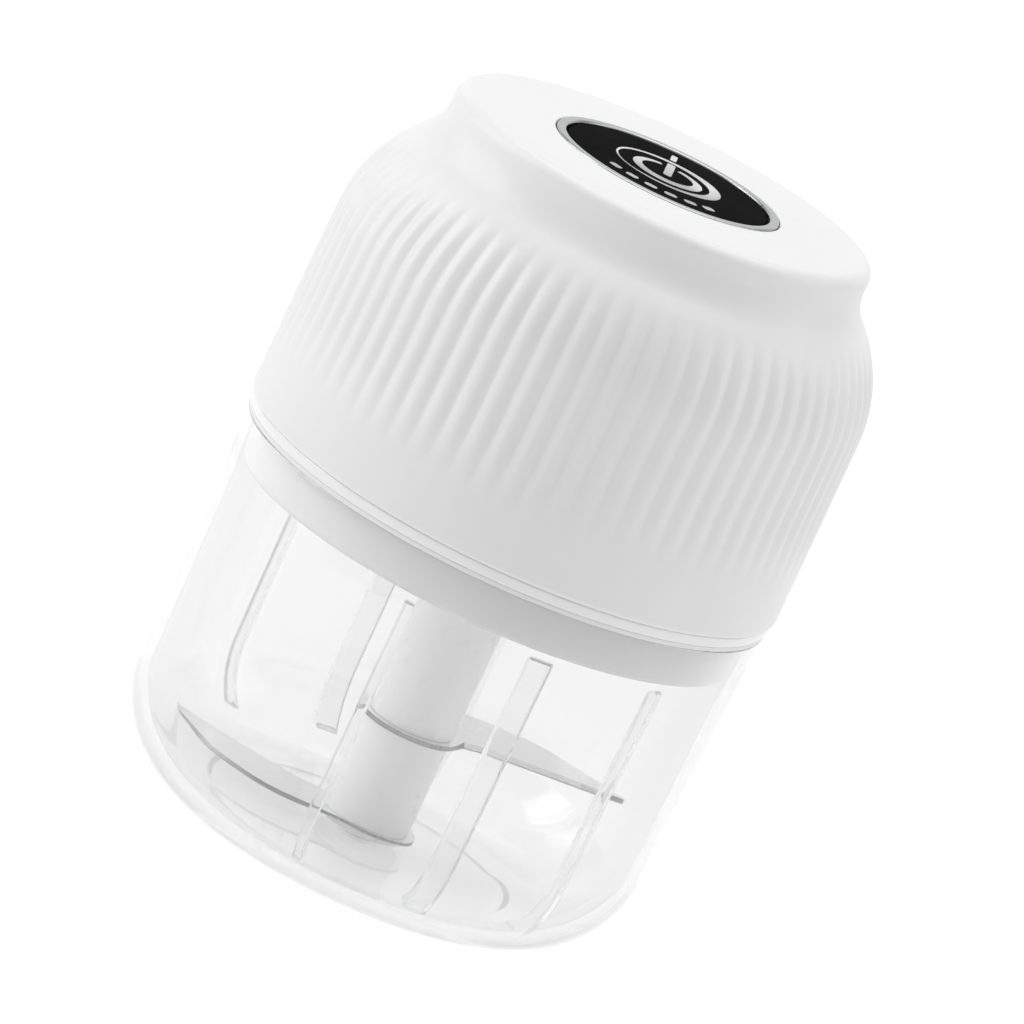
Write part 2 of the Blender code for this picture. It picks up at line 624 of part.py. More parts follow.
def make_gearbox(head, output, rotor, planets):
    floor_top = INSERT_BOTTOM_Z + INSERT_FLOOR
    case_z = floor_top + 3.6
    case = [
        (4.6, case_z), (4.6, case_z + 2.0), (12.9, case_z + 2.0), (12.9, 70.2), (15.0, 70.2),
        (15.0, case_z),
    ]
    gear_case = lathe("gear_case", case, 32)
    join(gear_case, rods("case_ears", GEAR_SCREWS, case_z + 0.1, case_z + 1.9, 2.7, 12))
    cut(gear_case, rods("case_holes", GEAR_SCREWS, case_z - 1, case_z + 3, 1.2, 8))
    place(gear_case, head, DARK)
    place(ring("output_bushing", 2.62, 4.3, case_z, case_z + 2.4, 20), head, BRASS)
    ring_phase = gear_phases(FIRST_PLANET_ANGLE)[1]
    teeth = gear_outline(RING_TEETH, ring_phase, inner=True)
    place(plate("ring_gear", [circle(12.6, 32), teeth], 62.0, 69.0), head, NYLON, smooth=20)
    cover = plate("motor_plate", [circle(15.0, 28), circle(3.6, 16)], 70.5, 72.0)
    cut(cover, rods("plate_holes", MOTOR_SCREWS, 69.0, 73.0, 1.1, 8))
    place(cover, head, STEEL)

    carrier_z = (60.6, 62.4)
    centres = around(PLANET_ORBIT_R, PLANET_COUNT, FIRST_PLANET_ANGLE)
    carrier = rods("planet_carrier", [(0, 0)], *carrier_z, 9.4, 24)
    join(carrier, rods("planet_pins", centres, carrier_z[1] - 0.5, GEAR_Z[1] + 0.4, PLANET_PIN_R, 12))
    cut(carrier, rods("carrier_bore", [(0, 0)], carrier_z[0] - 1, carrier_z[1] + 1, 2.8, 20))
    place(carrier, output, STEEL)
    shaft = [(0.0, 62.2), (2.5, 62.2), (2.5, 42.6), (2.1, 42.2), (0.0, 42.2)]
    place(lathe("output_shaft", shaft, 20), output, STEEL)
    dog = [circle(3.8, 6, phase=30.0), circle(2.8, 20)]
    place(plate("drive_dog", dog, 41.5, 50.8), output, NYLON, smooth=20)

    sun = [gear_outline(SUN_TEETH, 0.0), circle(MOTOR_SHAFT_R + 0.2, 16)]
    place(plate("sun_gear", sun, *GEAR_Z), rotor, BRASS, smooth=20)
    for i, (planet, (x, y)) in enumerate(zip(planets, centres)):
        angle = FIRST_PLANET_ANGLE + 360.0 * i / PLANET_COUNT
        outline = gear_outline(PLANET_TEETH, gear_phases(angle)[0])
        gear = plate(f"planet_gear_{i + 1}", [outline, circle(PLANET_PIN_R + 0.15, 16)], *GEAR_Z)
        gear.location = Vector((x, y, 0)) * MM
        place(gear, planet, NYLON, smooth=20)


# Motor

def arc_plate(inner_r, outer_r, start, end, steps=8):
    """Outline of a curved block between two radii."""
    angles = [start + (end - start) * i / steps for i in range(steps + 1)]
    return [polar(outer_r, a) for a in angles] + [polar(inner_r, a) for a in reversed(angles)]


def armature_outline():
    """Three T-shaped poles round a core."""
    points = []
    for pole in (90.0, 210.0, 330.0):
        points += [polar(3.4, pole - 42), polar(6.2, pole - 17), polar(6.6, pole - 50)]
        points += [polar(ARMATURE_R, pole - 52 + 13 * i) for i in range(9)]
        points += [polar(6.6, pole + 50), polar(6.2, pole + 17), polar(3.4, pole + 42)]
    return points


def make_motor(head, rotor):
    low, high = MOTOR_Z
    inner_r = MOTOR_R - MOTOR_WALL
    can = [(3.4, low), (3.4, low + 1.0), (inner_r, low + 1.0), (inner_r, high), (MOTOR_R, high),
           (MOTOR_R, low + 0.6), (MOTOR_R - 0.6, low)]
    motor_can = lathe("motor_can", can, 28)
    cut(motor_can, rods("can_holes", MOTOR_SCREWS, low - 1, low + 2, 1.1, 8))
    place(motor_can, head, STEEL)
    place(ring("motor_bushing", MOTOR_SHAFT_R + 0.12, 3.1, low, low + 2.2, 16), head, BRASS)
    cap = [(MOTOR_SHAFT_R + 0.3, high + GAP), (MOTOR_SHAFT_R + 0.3, 104.0), (3.4, 104.0), (3.4, 102.0),
           (MOTOR_R - 0.5, 102.0), (MOTOR_R, 101.5), (MOTOR_R, high + GAP)]
    place(lathe("motor_endcap", cap, 28), head, DARK)
    for i, middle in enumerate((0.0, 180.0), 1):
        outline = arc_plate(9.0, inner_r - GAP, middle - 62, middle + 62)
        place(plate(f"magnet_{i}", [outline], 75.5, 93.5), head, MAGNET)
    for i, side in enumerate((1, -1), 1):
        low_x, high_x = sorted((side * 3.3, side * 6.0))
        place(box(f"brush_{i}", (low_x, -1.0, 96.2), (high_x, 1.0, 98.2)), head, COPPER, smooth=0)
    shaft = [(0.0, 103.2), (0.7, 103.2), (MOTOR_SHAFT_R, 102.9), (MOTOR_SHAFT_R, 62.9), (0.0, 62.9)]
    place(lathe("rotor_shaft", shaft, 12), rotor, STEEL)
    bore = circle(MOTOR_SHAFT_R + GAP, 12)
    place(plate("armature", [armature_outline(), bore], 76.5, 92.5), rotor, COPPER)
    place(plate("commutator", [circle(2.9, 18), bore], 95.4, 99.0), rotor, COPPER)


# Battery, charging and wiring

def make_power(head):
    cell = [
        (0.0, BATTERY_Z + BATTERY_H), (2.8, BATTERY_Z + BATTERY_H), (2.8, BATTERY_Z + BATTERY_H - 1.0),
        (BATTERY_R - 0.6, BATTERY_Z + BATTERY_H - 1.0), (BATTERY_R, BATTERY_Z + BATTERY_H - 1.6),
        (BATTERY_R, BATTERY_Z), (0.0, BATTERY_Z),
    ]
    battery = lathe("battery_cell", cell, 28)
    battery.location = (BATTERY_X * MM, 0, 0)
    place(battery, head, SLEEVE)
    clip = plate("battery_cradle", [arc_plate(BATTERY_R + GAP, BATTERY_R + 1.5, 52, 308, 16)], 56.0, 76.0)
    clip.location = (BATTERY_X * MM, 0, 0)
    place(clip, head, WHITE)
    board = box("charging_board", (-9.5, 21.0, PORT_Z - 3.5), (9.5, 38.6, PORT_Z - 1.9))
    place(board, head, BOARD, smooth=0)
    socket = box("usb_socket", (-4.5, 32.0, PORT_Z - 1.6), (4.5, 39.4, PORT_Z + 1.6))
    well = box("socket_well", (-4.1, 33.0, PORT_Z - 1.2), (4.1, 41.0, PORT_Z + 1.2))
    tongue = box("socket_tongue", (-3.3, 32.5, PORT_Z - 0.35), (3.3, 38.6, PORT_Z + 0.35))
    cut(socket, well)
    join(socket, tongue)
    place(socket, head, STEEL, smooth=0)
    routes = {
        "motor_lead_red": (RED, [(5.5, 3.0, 102.6), (6.5, 6.5, 103.6), (9.0, 11.0, 105.4),
                                 (11.0, 14.0, 108.2)]),
        "motor_lead_black": (DARK, [(-5.5, 3.0, 102.6), (-6.0, 7.0, 103.8), (-7.0, 11.5, 105.6),
                                    (-8.0, 14.5, 108.2)]),
        "battery_lead": (RED, [(-27.0, 0.0, 90.8), (-24.5, 7.0, 94.0), (-16.0, 19.0, 92.0),
                               (-9.0, 26.5, 80.0), (-7.0, 27.5, 68.0)]),
    }
    for name, (mat, route) in routes.items():
        tube(name, smooth_path(route, 2.5), 0.6, mat, head)


def make_port_cover(hinge):
    """A soft plug for the charging port. It turns on its top edge."""
    half_x, half_z = COVER_HALF
    low, high = PORT_Z - half_z, PORT_Z + half_z
    flap = rods("port_cover", [(0, 0)], low, high, SHELL_R - 0.15, 96)
    keep = box("cover_outline", (-half_x, POCKET_Y + GAP, low - 1), (half_x, 46.0, high + 1))
    combine(flap, helper(keep), "INTERSECT")
    plug_x, plug_z = PORT_OPENING[0] - 0.8, PORT_OPENING[1] - 0.7
    join(flap, box("cover_plug", (-plug_x, POCKET_Y - 0.7, PORT_Z - plug_z),
                   (plug_x, POCKET_Y + 0.7, PORT_Z + plug_z)))
    cut(flap, box("cover_grip", (-3.0, POCKET_Y + 0.6, low - 0.2), (3.0, 46.0, low + 0.6)))
    place(flap, hinge, RUBBER)


def main():
    cup = axis_empty("cup_body")
    head = axis_empty("motor_head", z=CUP_TOP_Z)
    unit = axis_empty("blade_axis", z=LOWER_BLADE_Z)
    output = axis_empty("output_axis", z=60.0)
    rotor = axis_empty("rotor_axis", z=MOTOR_Z[0])
    button = axis_empty("button_axis", z=TOTAL_H)
    plunger = axis_empty("plunger_axis", z=BOARD_Z)
    cover = axis_empty("cover_hinge", y=43.4, z=PORT_Z + 4.4)
    planets = [
        axis_empty(f"planet_axis_{i + 1}", x, y, GEAR_Z[0])
        for i, (x, y) in enumerate(around(PLANET_ORBIT_R, PLANET_COUNT, FIRST_PLANET_ANGLE))
    ]
    make_cup(cup)
    make_blade_unit(unit)
    make_shell(head)
    make_bezel(head)
    make_insert(head)
    make_screws(head)
    make_button(button)
    make_switch(head, plunger)
    make_gearbox(head, output, rotor, planets)
    make_motor(head, rotor)
    make_power(head)
    make_port_cover(cover)
    for empty in (rotor, output, button, plunger, cover):
        empty.parent = head
        empty.matrix_parent_inverse = Matrix.Translation(-head.location)
    for empty in planets:
        empty.parent = output
        empty.matrix_parent_inverse = Matrix.Translation(-output.location)
    unit.parent = cup


main()
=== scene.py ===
"""The looks of the mini food processor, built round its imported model. Lengths are in millimetres
and are turned into metres where a mesh is made."""

import json
import math

import bmesh
import bpy
from mathutils import Matrix, Vector


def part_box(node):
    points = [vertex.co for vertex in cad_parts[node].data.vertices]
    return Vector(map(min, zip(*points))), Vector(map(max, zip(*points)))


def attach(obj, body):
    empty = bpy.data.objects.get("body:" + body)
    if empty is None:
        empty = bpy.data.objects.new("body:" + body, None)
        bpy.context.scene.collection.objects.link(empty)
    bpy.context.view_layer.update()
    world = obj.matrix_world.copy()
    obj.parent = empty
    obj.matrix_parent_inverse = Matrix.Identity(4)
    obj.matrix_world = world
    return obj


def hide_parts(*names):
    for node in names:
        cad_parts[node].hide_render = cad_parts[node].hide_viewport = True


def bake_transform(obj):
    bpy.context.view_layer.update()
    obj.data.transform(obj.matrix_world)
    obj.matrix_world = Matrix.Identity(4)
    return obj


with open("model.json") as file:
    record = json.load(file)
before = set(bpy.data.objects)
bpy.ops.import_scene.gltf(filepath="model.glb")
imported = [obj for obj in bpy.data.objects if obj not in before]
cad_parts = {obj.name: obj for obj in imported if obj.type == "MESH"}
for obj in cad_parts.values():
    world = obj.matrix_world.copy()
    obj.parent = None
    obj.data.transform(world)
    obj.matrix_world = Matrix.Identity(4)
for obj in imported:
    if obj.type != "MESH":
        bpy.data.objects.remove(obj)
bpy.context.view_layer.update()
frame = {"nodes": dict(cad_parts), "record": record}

MM = 0.001


# Places read from the frame

def node_box(node):
    """Lowest and highest corner of a CAD node, in millimetres."""
    low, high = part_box(node)
    return low / MM, high / MM


SHELL_LOW, SHELL_HIGH = node_box("housing_shell")
CUP_HIGH = node_box("cup")[1]
INSERT_LOW, INSERT_HIGH = node_box("lid_insert")
SEAL_HIGH = node_box("cup_seal")[1]
RING_LOW, RING_HIGH = node_box("button_ring")
BUTTON_LOW, BUTTON_HIGH = node_box("power_button")
UPPER_HUB_HIGH = node_box("hub_upper")[1]
FOOT_LOW, FOOT_HIGH = node_box("hub_foot")
COVER_LOW, COVER_HIGH = node_box("port_cover")

# Shape of the motor head's shell
SHELL_R = SHELL_HIGH.x
SHELL_TOP = SHELL_HIGH.z
SHELL_BOTTOM = SHELL_LOW.z
SHELL_WALL = 2.3
NECK_R = 34.5
NECK_FILLET_R = 8.0
SHOULDER_ARC_R = 22.8
SHOULDER_Z = SHELL_TOP - 25.5
SHOULDER_R = 43.7
TOP_PLATE = 2.5
RING_R = RING_HIGH.x
BUTTON_R = 16.6
REEDS = 72  # upright reeds round the shell, with narrow valleys between them
REED_DEPTH = 0.60
REED_TURN = math.radians(0.7)
REED_FADE = ((69.0, 82.0), (100.0, 109.0))  # heights over which the valleys fade in and out

# Charging port at the back of the shell
PORT_Z = (COVER_LOW.z + COVER_HIGH.z) / 2
PORT_HALF_X = COVER_HIGH.x
PORT_HALF_Z = (COVER_HIGH.z - COVER_LOW.z) / 2
INSIDE_Y = 36.0  # cuts at the back run from here, inside the wall,
OUTSIDE_Y = 47.0  # to here, outside it

# Button and its print
BUTTON_CROWN = 0.12  # how much higher the middle of the face is than its edge
PRINT_HEIGHT = 0.05
PRINT_SUNK = 0.03
LEVEL_MARKS = 6
LEVEL_MARK_R = 13.0
LEVEL_MARK_STEP = 14.5  # degrees from one level mark to the next

# Shape of the cup
CUP_TOP_R = CUP_HIGH.x
CUP_LOW_R = 42.5
CUP_CORNER_R = 16.0
CUP_WALL = 2.1
CUP_FLOOR = 2.6
CUP_LEDGE = 51.6  # height where the wall widens to take the insert
CUP_MOUTH_R = 41.5
CORNER_CENTRE_R = CUP_LOW_R - CUP_CORNER_R
INNER_CORNER_R = CUP_CORNER_R - CUP_WALL
FOOT_RECESS_R = 25.7
FOOT_RECESS_H = 0.7
CUP_RIBS = ((-100.7, 0.8), (-70.3, 1.9), (-40.2, 0.8))  # angle from +X, half width
RIB_DEPTH = 1.6

# Insert that closes the head
BAND_R = 41.0
INSERT_WALL = 2.2
POST_RING_R = 37.6  # circle that the three screw posts stand on

# Blades
BLADE_T = 0.8
BLADE_TIP_R = 37.2
BLADE_BORE_R = 4.5
BLADE_TURNS = {"upper_blade": 16.3, "lower_blade": 160.0}  # degrees from +X
BLADE_ROOT_R = 8.3
GRIND = 0.32  # width of the steep ground edge
GRIND_RUN_OUT = 8  # points over which it narrows to nothing at each end
BACK_BEVEL = 1.0  # width of the shallow bevel along the straight back
BACK_RUN_OUT = 9.0  # length over which that narrows to nothing at the tip

ROUND = 192  # segments of the large round pieces
SMOOTH = 32.0  # edges sharper than this, in degrees, stay sharp in the shading
FACET_SMOOTH = 7.0  # the same for the blades, whose bevels are shallow

SLANT_HAZE = 0.45  # how much more a clear wall scatters where it is seen edge on


# Scene: camera, floor and light

CAMERA_DISTANCE = 1440.0
CAMERA_ELEVATION = 14.2
CAMERA_ROLL = 25.2
CAMERA_LENS = 331.0
AIM_OFFSET = (0.66, 0.52)  # of the picture's centre from the object's middle, right and up

# Area lights: place and size in metres, and power in watts
LIGHTS = {
    "top_light": ((0.0, 0.15, 1.15), (1.3, 1.3), 9.0),
    "left_light": ((-0.95, -0.10, 0.40), (0.35, 0.9), 3.15),
    "left_strip": ((-0.90, 0.30, 0.30), (0.22, 0.7), 1.3),
    "right_light": ((0.95, 0.15, 0.40), (0.6, 0.9), 1.6),
    "front_light": ((0.0, -1.20, 0.45), (1.0, 0.8), 0.5),
    "backdrop": ((0.0, 2.40, 0.62), (5.0, 1.2), 12.0),
}
SKY = (0.19, 0.50)  # radiance at the horizon and overhead
FLOOR_GLOW = 0.86


def make_camera():
    """A long lens that looks down at the object, rolled as far as the object leans in the picture."""
    middle = Vector((0.0, 0.0, SHELL_TOP / 2))
    lift = math.radians(CAMERA_ELEVATION)
    back = Vector((0.0, -math.cos(lift), math.sin(lift)))
    right = Vector((1.0, 0.0, 0.0))
    up = back.cross(right)
    roll = math.radians(CAMERA_ROLL)
    picture_up = up * math.cos(roll) - right * math.sin(roll)
    picture_right = right * math.cos(roll) + up * math.sin(roll)
    aim = middle + picture_right * AIM_OFFSET[0] + picture_up * AIM_OFFSET[1]
    data = bpy.data.cameras.new("camera")
    data.lens = CAMERA_LENS
    data.sensor_width = 36.0
    data.clip_start = 0.05
    data.clip_end = 50.0
    camera = bpy.data.objects.new("camera", data)
    turn = Matrix((picture_right, picture_up, back)).transposed()
    camera.matrix_world = Matrix.Translation((aim + back * CAMERA_DISTANCE) * MM) @ turn.to_4x4()
    bpy.context.scene.collection.objects.link(camera)
    bpy.context.scene.camera = camera


def softbox(name, place, size, power):
    """An area light, in metres, that faces the middle of the object. A strip only shows in gloss."""
    data = bpy.data.lights.new(name, "AREA")
    data.shape = "RECTANGLE"
    data.size, data.size_y = size
    data.energy = power
    light = bpy.data.objects.new(name, data)
    light.location = place
    aim = Vector((0.0, 0.0, SHELL_TOP / 2 * MM)) - light.location
    light.rotation_euler = aim.to_track_quat("-Z", "Y").to_euler()
    light.visible_diffuse = not name.endswith("strip")
    bpy.context.scene.collection.objects.link(light)


def make_world():
    """A pale sky from the horizon up."""
    world = bpy.data.worlds.new("studio")
    bpy.context.scene.world = world
    world.use_nodes = True
    tree = world.node_tree
    coords = tree.nodes.new("ShaderNodeTexCoord")
    split = tree.nodes.new("ShaderNodeSeparateXYZ")
    ramp = tree.nodes.new("ShaderNodeValToRGB")
    stops = ramp.color_ramp.elements
    for stop, position, share in zip(stops, (0.05, 0.75), SKY):
        stop.position = position
        stop.color = (share, share, share, 1)
    background = tree.nodes["Background"]
    tree.links.new(coords.outputs["Generated"], split.inputs[0])
    tree.links.new(split.outputs["Z"], ramp.inputs[0])
    tree.links.new(ramp.outputs[0], background.inputs["Color"])
    background.inputs["Strength"].default_value = 1.0


def make_floor():
    """A wide floor that glows, so that it stays almost white."""
    mesh = bpy.data.meshes.new("floor")
    half = 12.0
    corners = [(-half, -half, 0), (half, -half, 0), (half, half, 0), (-half, half, 0)]
    mesh.from_pydata(corners, [], [(0, 1, 2, 3)])
    floor = bpy.data.objects.new("floor", mesh)
    floor.location.z = -0.0001
    bpy.context.scene.collection.objects.link(floor)
    mat, shader = new_material("floor", roughness=0.9)
    shader.inputs["Base Color"].default_value = (0.20, 0.20, 0.20, 1)
    shader.inputs["Specular IOR Level"].default_value = 0.0
    shader.inputs["Emission Color"].default_value = (1, 1, 1, 1)
    shader.inputs["Emission Strength"].default_value = FLOOR_GLOW
    floor.data.materials.append(mat)


# Materials

def new_material(name, roughness, metallic=0.0):
    mat = bpy.data.materials.new(name)
    mat.use_nodes = True
    shader = mat.node_tree.nodes["Principled BSDF"]
    shader.inputs["Roughness"].default_value = roughness
    shader.inputs["Metallic"].default_value = metallic
    return mat, shader


class Nodes:
    """Short calls for the node chains that the materials share."""

    def __init__(self, mat, shader):
        self.tree = mat.node_tree
        self.shader = shader
        self.coords = self.tree.nodes.new("ShaderNodeTexCoord").outputs["Object"]

    def new(self, kind, **inputs):
        node = self.tree.nodes.new(kind)
        for key, value in inputs.items():
            node.inputs[key.replace("_", " ")].default_value = value
        return node

    def link(self, source, target):
        self.tree.links.new(source, target)

    def stretched(self, scale):
        """Object coordinates scaled along each axis."""
        mapping = self.new("ShaderNodeMapping")
        mapping.inputs["Scale"].default_value = scale
        self.link(self.coords, mapping.inputs["Vector"])
        return mapping.outputs[0]

    def noise(self, scale, detail, coords=None, rough=0.55):
        node = self.new("ShaderNodeTexNoise", Scale=scale, Detail=detail, Roughness=rough)
        self.link(coords or self.coords, node.inputs["Vector"])
        return node.outputs["Fac"]

    def ramp(self, source, *stops):
        node = self.tree.nodes.new("ShaderNodeValToRGB")
        elements = node.color_ramp.elements
        while len(elements) < len(stops):
            elements.new(0.5)
        for element, (position, colour) in zip(elements, stops):
            element.position = position
            grey = isinstance(colour, (int, float))
            element.color = (colour, colour, colour, 1) if grey else (*colour, 1)
        self.link(source, node.inputs[0])
        return node.outputs[0]

    def scaled(self, source, low, high, start=0.3, end=0.7):
        node = self.new("ShaderNodeMapRange")
        for key, value in (("From Min", start), ("From Max", end), ("To Min", low), ("To Max", high)):
            node.inputs[key].default_value = value
        self.link(source, node.inputs[0])
        return node.outputs[0]

    def colour(self, source):
        self.link(source, self.shader.inputs["Base Color"])

    def rough(self, source):
        self.link(source, self.shader.inputs["Roughness"])

    def bump(self, source, depth, strength=1.0):
        """Bump whose full height is depth, in millimetres."""
        node = self.new("ShaderNodeBump", Strength=strength, Distance=depth * MM)
        self.link(source, node.inputs["Height"])
        self.link(node.outputs[0], self.shader.inputs["Normal"])


def shaded(colour, share):
    return tuple(channel * share for channel in colour)


def moulded(name, colour, roughness, grain=0.012, variation=0.03, specular=0.5):
    """Moulded plastic: a faint flow pattern in the colour, a fine texture and uneven gloss."""
    mat, shader = new_material(name, roughness)
    shader.inputs["Specular IOR Level"].default_value = specular
    n = Nodes(mat, shader)
    flow = n.noise(38.0, 2.0)
    n.colour(n.ramp(flow, (0.3, shaded(colour, 1 - variation)), (0.7, colour)))
    n.rough(n.scaled(n.noise(420.0, 3.0), roughness - 0.05, roughness + 0.06))
    n.bump(n.noise(2600.0, 2.0), grain)
    return mat


def metal(name, colour, roughness, stretch, scale=900.0):
    """Machined or brushed metal: fine lines along one direction and uneven gloss."""
    mat, shader = new_material(name, roughness, metallic=1.0)
    n = Nodes(mat, shader)
    lines = n.noise(scale, 4.0, n.stretched(stretch), 0.65)
    n.colour(n.ramp(lines, (0.3, shaded(colour, 1 - 0.12)), (0.7, colour)))
    n.rough(n.scaled(lines, roughness - 0.06, roughness + 0.10))
    n.bump(lines, 0.004)
    return mat


def blade_metal():
    """Brushed steel whose cut sides are painted darker than its polished faces, as painted shade along
    the edges.
    """
    mat, shader = new_material("blade_steel", 0.30, metallic=1.0)
    n = Nodes(mat, shader)
    lines = n.noise(420.0, 4.0, n.stretched((1, 9, 1)), 0.65)
    faces = n.ramp(lines, (0.3, 0.86), (0.7, 0.90))
    # painted shade: the cut sides get a dark colour, so the blade's edges show as dark lines
    shaded_sides = n.ramp(lines, (0.3, 0.22), (0.7, 0.28))
    normal = n.new("ShaderNodeSeparateXYZ")
    n.link(n.tree.nodes.new("ShaderNodeTexCoord").outputs["Normal"], normal.inputs[0])
    height = n.new("ShaderNodeMath")
    height.operation = "ABSOLUTE"
    n.link(normal.outputs["Z"], height.inputs[0])
    mix = n.new("ShaderNodeMixRGB")
    n.link(n.scaled(height.outputs[0], 0.0, 1.0, 0.60, 0.85), mix.inputs["Fac"])
    n.link(shaded_sides, mix.inputs["Color1"])
    n.link(faces, mix.inputs["Color2"])
    n.colour(mix.outputs[0])
    n.rough(n.scaled(lines, 0.24, 0.40))
    n.bump(lines, 0.004)
    return mat


def clear_plastic(name, share, haze_colour, absorbed):
    """Clear moulded plastic with ripples in its surface. share of the light passes and the rest
    scatters as haze, more of it where the wall is seen at a slant. Lamps shine through it, and
    absorbed is what a metre of it takes out."""
    mat, shader = new_material(name, 0.02)
    shader.inputs["IOR"].default_value = 1.30
    shader.inputs["Coat Weight"].default_value = 1.0
    shader.inputs["Coat IOR"].default_value = 1.45
    shader.inputs["Coat Roughness"].default_value = 0.04
    n = Nodes(mat, shader)
    n.colour(n.ramp(n.noise(30.0, 1.0), (0.3, shaded(haze_colour, 0.99)), (0.7, haze_colour)))
    n.rough(n.scaled(n.noise(60.0, 2.0), 0.01, 0.05))
    n.bump(n.noise(45.0, 1.0), 0.006)
    slant = n.new("ShaderNodeLayerWeight", Blend=0.5).outputs["Facing"]
    n.link(n.scaled(slant, share, share - SLANT_HAZE, 0.40, 0.85), shader.inputs["Transmission Weight"])
    pass_light = n.new("ShaderNodeBsdfTransparent")
    pass_light.inputs["Color"].default_value = (0.93, 0.935, 0.935, 1)
    path = n.new("ShaderNodeLightPath")
    mix = n.new("ShaderNodeMixShader")
    n.link(path.outputs["Is Shadow Ray"], mix.inputs[0])
    n.link(shader.outputs[0], mix.inputs[1])
    n.link(pass_light.outputs[0], mix.inputs[2])
    output = mat.node_tree.nodes["Material Output"]
    n.link(mix.outputs[0], output.inputs["Surface"])
    inside = n.new("ShaderNodeVolumeAbsorption", Density=absorbed)
    inside.inputs["Color"].default_value = (0.0, 0.0, 0.0, 1)
    n.link(inside.outputs[0], output.inputs["Volume"])
    return mat


def black_gloss():
    """The button's glossy black face, with the faintest marks of handling."""
    mat, shader = new_material("button_gloss", 0.2)
    shader.inputs["Specular IOR Level"].default_value = 0.0
    shader.inputs["Coat Weight"].default_value = 0.03
    shader.inputs["Coat Roughness"].default_value = 0.12
    n = Nodes(mat, shader)
    n.colour(n.ramp(n.noise(120.0, 2.0), (0.3, 0.003), (0.7, 0.006)))
    n.rough(n.scaled(n.noise(260.0, 4.0), 0.14, 0.30))
    n.bump(n.noise(1500.0, 2.0), 0.003)
    return mat


def printed_mark():
    """Pale silver print whose brightness drifts across the button."""
    mat, shader = new_material("printed_mark", 0.45, metallic=0.25)
    n = Nodes(mat, shader)
    n.colour(n.ramp(n.noise(95.0, 1.0), (0.35, 0.40), (0.65, 0.72)))
    n.rough(n.scaled(n.noise(900.0, 2.0), 0.38, 0.52))
    n.bump(n.noise(3000.0, 1.0), 0.002)
    return mat


def board_material():
    """Green solder mask with paler copper tracks under it."""
    mat, shader = new_material("board_green", 0.35)
    n = Nodes(mat, shader)
    tracks = n.new("ShaderNodeTexBrick", Scale=260.0)
    tracks.inputs["Mortar Size"].default_value = 0.06
    for key, shade in (("Color1", (0.02, 0.16, 0.07)), ("Color2", (0.025, 0.19, 0.08)),
                       ("Mortar", (0.09, 0.34, 0.14))):
        tracks.inputs[key].default_value = (*shade, 1)
    n.link(n.coords, tracks.inputs["Vector"])
    n.colour(tracks.outputs["Color"])
    n.bump(tracks.outputs["Fac"], 0.03, 0.5)
    return mat


def make_materials():
    turned = (1, 1, 14)
    return {
        "clear_plastic": clear_plastic("clear_plastic", 0.92, (0.954, 0.954, 0.954), 6.0),
        # painted light: the ribs use a paler copy of the cup's clear plastic, so they show lighter than
        # the cup
        "rib_plastic_painted_lighter": clear_plastic("rib_plastic_painted_lighter", 0.92, (0.975, 0.975, 0.975), 6.0),
        "white_plastic": moulded("white_plastic", (0.83, 0.83, 0.83), 0.36),
        "insert_plastic": moulded("insert_plastic", (0.90, 0.90, 0.90), 0.20, grain=0.003, specular=0.8),
        "hub_plastic": moulded("hub_plastic", (0.85, 0.85, 0.85), 0.30, grain=0.005),
        "button_gloss": black_gloss(),
        "silver_trim": metal("silver_trim", (0.52, 0.53, 0.54), 0.27, (1, 1, 6), 500.0),
        "blade_steel": blade_metal(),
        "steel": metal("steel", (0.55, 0.56, 0.57), 0.30, turned),
        "brass": metal("brass", (0.70, 0.50, 0.22), 0.30, turned),
        "gear_nylon": moulded("gear_nylon", (0.74, 0.72, 0.63), 0.45, grain=0.01),
        "seal_rubber": moulded("seal_rubber", (0.84, 0.84, 0.835), 0.62, grain=0.02, specular=0.3),
        "dark_plastic": moulded("dark_plastic", (0.03, 0.03, 0.033), 0.45, variation=0.2),
        "board_green": board_material(),
        "copper": metal("copper", (0.70, 0.33, 0.19), 0.32, (1, 1, 10)),
        "magnet": moulded("magnet", (0.075, 0.07, 0.07), 0.65, grain=0.03, variation=0.25),
        "battery_sleeve": moulded("battery_sleeve", (0.03, 0.13, 0.36), 0.33, grain=0.01),
        "red_wire": moulded("red_wire", (0.48, 0.02, 0.015), 0.42, variation=0.1),
        "lens": moulded("lens", (0.75, 0.86, 0.90), 0.15, grain=0.004),
        "printed_mark": printed_mark(),
    }


# Mesh helpers

def arc(centre_r, centre_z, radius, start, end, count):
    """Points on an arc in the profile plane. Angles in degrees from +R towards +Z."""
    angles = [math.radians(start + (end - start) * i / count) for i in range(count + 1)]
    return [(centre_r + radius * math.cos(a), centre_z + radius * math.sin(a)) for a in angles]


def polar(radius, degrees):
    return radius * math.cos(math.radians(degrees)), radius * math.sin(math.radians(degrees))


def around(radius, count, first):
    return [polar(radius, first + 360.0 * i / count) for i in range(count)]


def finer(points, spacing):
    """The same line with points no further apart than spacing."""
    made = [points[0]]
    for (r0, z0), (r1, z1) in zip(points, points[1:]):
        count = max(1, math.ceil(math.hypot(r1 - r0, z1 - z0) / spacing))
        made += [(r0 + (r1 - r0) * i / count, z0 + (z1 - z0) * i / count) for i in range(1, count + 1)]
    return made


def finish_mesh(obj, smooth):
    """Smooth shading, with edges over smooth degrees kept sharp."""
    obj.data.shade_smooth()
    obj.data.set_sharp_from_angle(angle=math.radians(smooth))
    return obj


def new_object(name, bm, smooth=SMOOTH):
    bmesh.ops.recalc_face_normals(bm, faces=bm.faces)
    mesh = bpy.data.meshes.new(name)
    bm.to_mesh(mesh)
    bm.free()
    obj = bpy.data.objects.new(name, mesh)
    bpy.context.scene.collection.objects.link(obj)
    return finish_mesh(obj, smooth)


